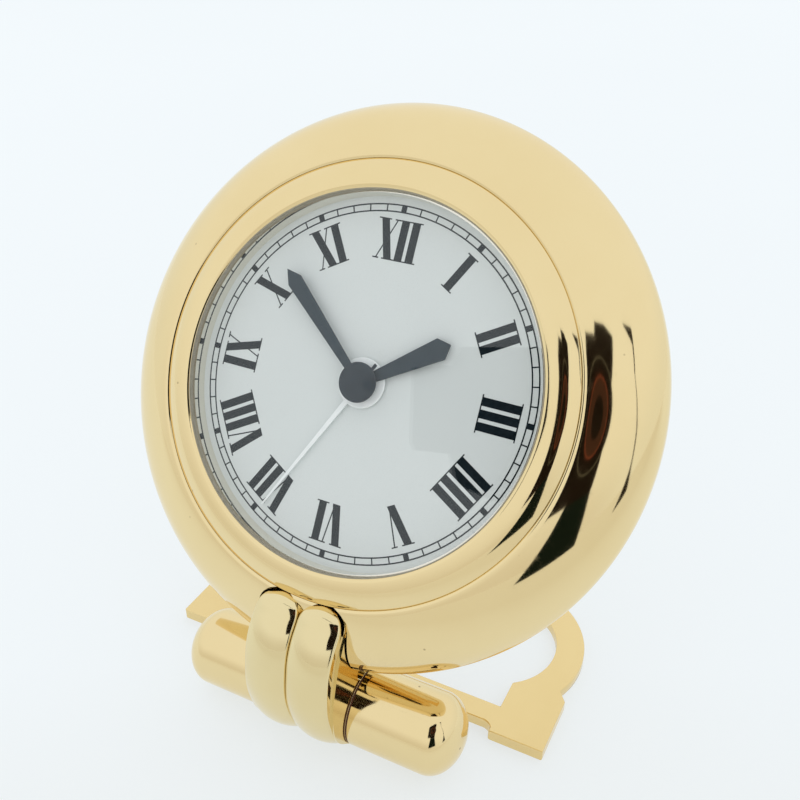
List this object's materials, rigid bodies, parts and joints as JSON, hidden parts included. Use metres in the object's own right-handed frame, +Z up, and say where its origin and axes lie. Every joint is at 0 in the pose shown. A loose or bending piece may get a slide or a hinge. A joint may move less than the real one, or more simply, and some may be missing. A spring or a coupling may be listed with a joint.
{
  "type": "travel alarm clock",
  "caption": "Round plated travel alarm clock with roman dial, alarm hand and quartz train, on a folding stand with a barrel hinge under a double gadroon.",
  "frame": {"origin": "on the table plane, under the middle of the stand's cross bar", "axes": "+Z up, the dial faces -Y, +X towards the dial's right-hand side; stored open, as it stands on a table"},
  "size_m": [0.068, 0.0466, 0.0714],
  "materials": {
    "gold_plate": "polished plating",
    "steel": "satin",
    "brass": "satin",
    "crystal": "polished",
    "dial": "satin",
    "rehaut": "satin",
    "dark_hand": "satin",
    "white_hand": "satin",
    "moulding": "moulded",
    "gasket": "soft",
    "washer": "smooth",
    "board": "solder mask",
    "chip": "moulded",
    "winding": "enamelled wire",
    "magnet": "ground"
  },
  "bodies": {
    "stand": {"stand_plate": "gold_plate", "left_barrel": "gold_plate", "right_barrel": "gold_plate", "hinge_pin": "steel", "friction_washers": "washer"},
    "clock": {"bail": "gold_plate", "bail_screws": "steel", "case_ring": "gold_plate", "bezel_ring": "gold_plate", "crystal_gasket": "gasket", "crystal": "crystal", "rehaut_ring": "rehaut", "case_back": "gold_plate", "case_back_screws": "steel", "dial_plate": "dial", "stator": "steel", "drive_coil": "winding", "main_plate": "brass", "back_plate": "brass", "movement_screws": "steel", "movement_holder": "moulding", "circuit_board": "board", "quartz_can": "steel", "control_chip": "chip", "buzzer_disc": "brass", "battery_tray": "moulding", "battery_cell": "steel", "battery_contacts": "brass"},
    "minute": {"minute_arbor": "steel", "minute_hand": "dark_hand", "centre_cap": "dark_hand"},
    "hour": {"hour_wheel": "brass", "hour_hand": "dark_hand"},
    "alarm": {"alarm_wheel": "brass", "alarm_hand": "white_hand"},
    "motion": {"motion_wheel": "brass"},
    "time_setting": {"time_stem": "steel", "time_knob": "gold_plate"},
    "alarm_setting": {"alarm_stem": "steel", "alarm_knob": "gold_plate"},
    "centre": {"centre_wheel": "brass"},
    "third": {"third_wheel": "brass"},
    "seconds": {"seconds_wheel": "brass"},
    "drive": {"drive_wheel": "brass"},
    "rotor": {"rotor_arbor": "steel", "rotor_magnet": "magnet"},
    "switch": {"alarm_switch": "moulding"},
    "hatch": {"battery_hatch": "gold_plate"}
  },
  "joints": [
    {"name": "stand_fold", "type": "hinge", "parent": "stand", "child": "clock", "pos_m": [0, -0.0089, 0.0054], "axis": [-1, 0, 0], "range_deg": [0, 58.6]},
    {"name": "minute_turn", "type": "hinge", "parent": "clock", "child": "minute", "pos_m": [0, 0.00291, 0.04423], "axis": [0, 0.8536, -0.521], "continuous": true},
    {"name": "hour_turn", "type": "hinge", "parent": "clock", "child": "hour", "pos_m": [0, 0.00291, 0.04423], "axis": [0, 0.8536, -0.521], "continuous": true},
    {"name": "motion_wheel_turn", "type": "hinge", "parent": "clock", "child": "motion", "pos_m": [0.006, 0.00291, 0.04423], "axis": [0, 0.8536, -0.521], "continuous": true},
    {"name": "time_knob_turn", "type": "hinge", "parent": "clock", "child": "time_setting", "pos_m": [0.012, 0.00291, 0.04423], "axis": [0, 0.8536, -0.521], "continuous": true},
    {"name": "alarm_turn", "type": "hinge", "parent": "clock", "child": "alarm", "pos_m": [0, 0.00291, 0.04423], "axis": [0, 0.8536, -0.521], "continuous": true},
    {"name": "alarm_knob_turn", "type": "hinge", "parent": "clock", "child": "alarm_setting", "pos_m": [-0.012, 0.00291, 0.04423], "axis": [0, 0.8536, -0.521], "continuous": true},
    {"name": "rotor_turn", "type": "hinge", "parent": "clock", "child": "rotor", "pos_m": [-0.00096, 0.01076, 0.05709], "axis": [0, 0.8536, -0.521], "continuous": true},
    {"name": "drive_wheel_turn", "type": "hinge", "parent": "clock", "child": "drive", "pos_m": [-0.00569, 0.0112, 0.0578], "axis": [0, 0.8536, -0.521], "continuous": true},
    {"name": "seconds_wheel_turn", "type": "hinge", "parent": "clock", "child": "seconds", "pos_m": [-0.00714, 0.00838, 0.05319], "axis": [0, 0.8536, -0.521], "continuous": true},
    {"name": "third_wheel_turn", "type": "hinge", "parent": "clock", "child": "third", "pos_m": [-0.00125, 0.00661, 0.05029], "axis": [0, 0.8536, -0.521], "continuous": true},
    {"name": "centre_wheel_turn", "type": "hinge", "parent": "clock", "child": "centre", "pos_m": [0, 0.00291, 0.04423], "axis": [0, 0.8536, -0.521], "continuous": true},
    {"name": "alarm_switch_slide", "type": "slide", "parent": "clock", "child": "switch", "axis": [1, 0, 0], "range_m": [0, 0.0024]},
    {"name": "hatch_turn", "type": "hinge", "parent": "clock", "child": "hatch", "pos_m": [0, -0.00594, 0.02972], "axis": [0, 0.8536, -0.521], "range_deg": [0, 40]}
  ],
  "couplings": [
    {"joint": "hour_turn", "follows": "minute_turn", "ratio": 0.083333},
    {"joint": "motion_wheel_turn", "follows": "minute_turn", "ratio": -0.33333},
    {"joint": "time_knob_turn", "follows": "minute_turn", "ratio": 1},
    {"joint": "alarm_knob_turn", "follows": "alarm_turn", "ratio": -3},
    {"joint": "drive_wheel_turn", "follows": "rotor_turn", "ratio": -0.2},
    {"joint": "seconds_wheel_turn", "follows": "rotor_turn", "ratio": 0.033333},
    {"joint": "third_wheel_turn", "follows": "rotor_turn", "ratio": -0.0044444},
    {"joint": "centre_wheel_turn", "follows": "rotor_turn", "ratio": 0.00055556}
  ]
}
